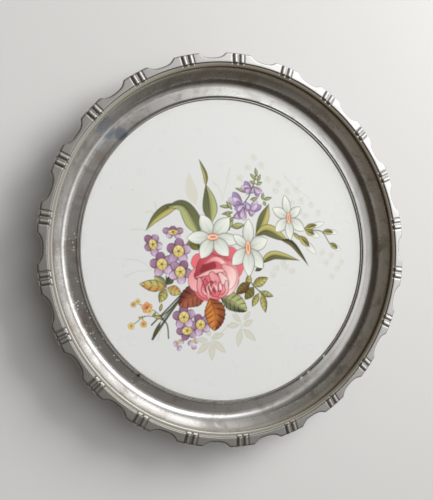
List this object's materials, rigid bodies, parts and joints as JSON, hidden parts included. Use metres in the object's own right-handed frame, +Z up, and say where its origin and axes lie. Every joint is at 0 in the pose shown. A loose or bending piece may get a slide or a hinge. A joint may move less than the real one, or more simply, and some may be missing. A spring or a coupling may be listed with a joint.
{
  "type": "folding tray table",
  "caption": "Round serving tray with a scalloped, ribbed metal rim and a flower-printed inlay, on two U-shaped legs that fold flat underneath.",
  "frame": {"origin": "on the ground under the tray's centre, at the bottom of the rest bumpers, with the legs folded", "axes": "+Z up out of the tray; +Y is the top of the printed flower spray, so the user sits on the -Y side; the leg hinges run along Y, at -X (left leg) and +X (right leg)"},
  "size_m": [0.3996, 0.4008, 0.0443],
  "materials": {
    "pewter_rim": "aged silver-grey metal, softly polished, brown tarnish in the cove",
    "printed_laminate": "off-white with a printed flower spray, glossy",
    "cork": "pressed cork",
    "hardboard": "brown hardboard, matt",
    "leg_steel": "bright plated bar",
    "zinc_steel": "zinc plated",
    "pressed_steel": "plated pressing",
    "spring_steel": "spring temper, satin",
    "brass": "plain",
    "black_rubber": "matt"
  },
  "bodies": {
    "tray": {"backing_board": "hardboard", "bumper_back": "black_rubber", "bumper_front": "black_rubber", "bumper_left": "black_rubber", "bumper_right": "black_rubber", "bumper_screw_back": "zinc_steel", "bumper_screw_front": "zinc_steel", "bumper_screw_left": "zinc_steel", "bumper_screw_right": "zinc_steel", "cushion_ring": "cork", "inlay_plate": "printed_laminate", "left_bracket_screw_back_1": "zinc_steel", "left_bracket_screw_back_2": "zinc_steel", "left_bracket_screw_front_1": "zinc_steel", "left_bracket_screw_front_2": "zinc_steel", "left_clip_screw": "zinc_steel", "left_hinge_bracket_back": "pressed_steel", "left_hinge_bracket_front": "pressed_steel", "left_leg_clip": "spring_steel", "left_pivot_pin_back": "brass", "left_pivot_pin_front": "brass", "right_bracket_screw_back_1": "zinc_steel", "right_bracket_screw_back_2": "zinc_steel", "right_bracket_screw_front_1": "zinc_steel", "right_bracket_screw_front_2": "zinc_steel", "right_clip_screw": "zinc_steel", "right_hinge_bracket_back": "pressed_steel", "right_hinge_bracket_front": "pressed_steel", "right_leg_clip": "spring_steel", "right_pivot_pin_back": "brass", "right_pivot_pin_front": "brass", "rim_nut_1": "brass", "rim_nut_2": "brass", "rim_nut_3": "brass", "rim_nut_4": "brass", "rim_nut_5": "brass", "rim_nut_6": "brass", "rim_stud_1": "zinc_steel", "rim_stud_2": "zinc_steel", "rim_stud_3": "zinc_steel", "rim_stud_4": "zinc_steel", "rim_stud_5": "zinc_steel", "rim_stud_6": "zinc_steel", "tray_rim": "pewter_rim"},
    "left_leg": {"left_foot_sleeve_back": "black_rubber", "left_foot_sleeve_front": "black_rubber", "left_leg_bar": "leg_steel"},
    "right_leg": {"right_foot_sleeve_back": "black_rubber", "right_foot_sleeve_front": "black_rubber", "right_leg_bar": "leg_steel"}
  },
  "joints": [
    {"name": "left_leg_fold", "type": "hinge", "parent": "tray", "child": "left_leg", "pos_m": [-0.112, 0, 0.006], "axis": [0, 1, 0], "range_deg": [0, 105]},
    {"name": "right_leg_fold", "type": "hinge", "parent": "tray", "child": "right_leg", "pos_m": [0.112, 0, 0.006], "axis": [0, -1, 0], "range_deg": [0, 105]}
  ]
}
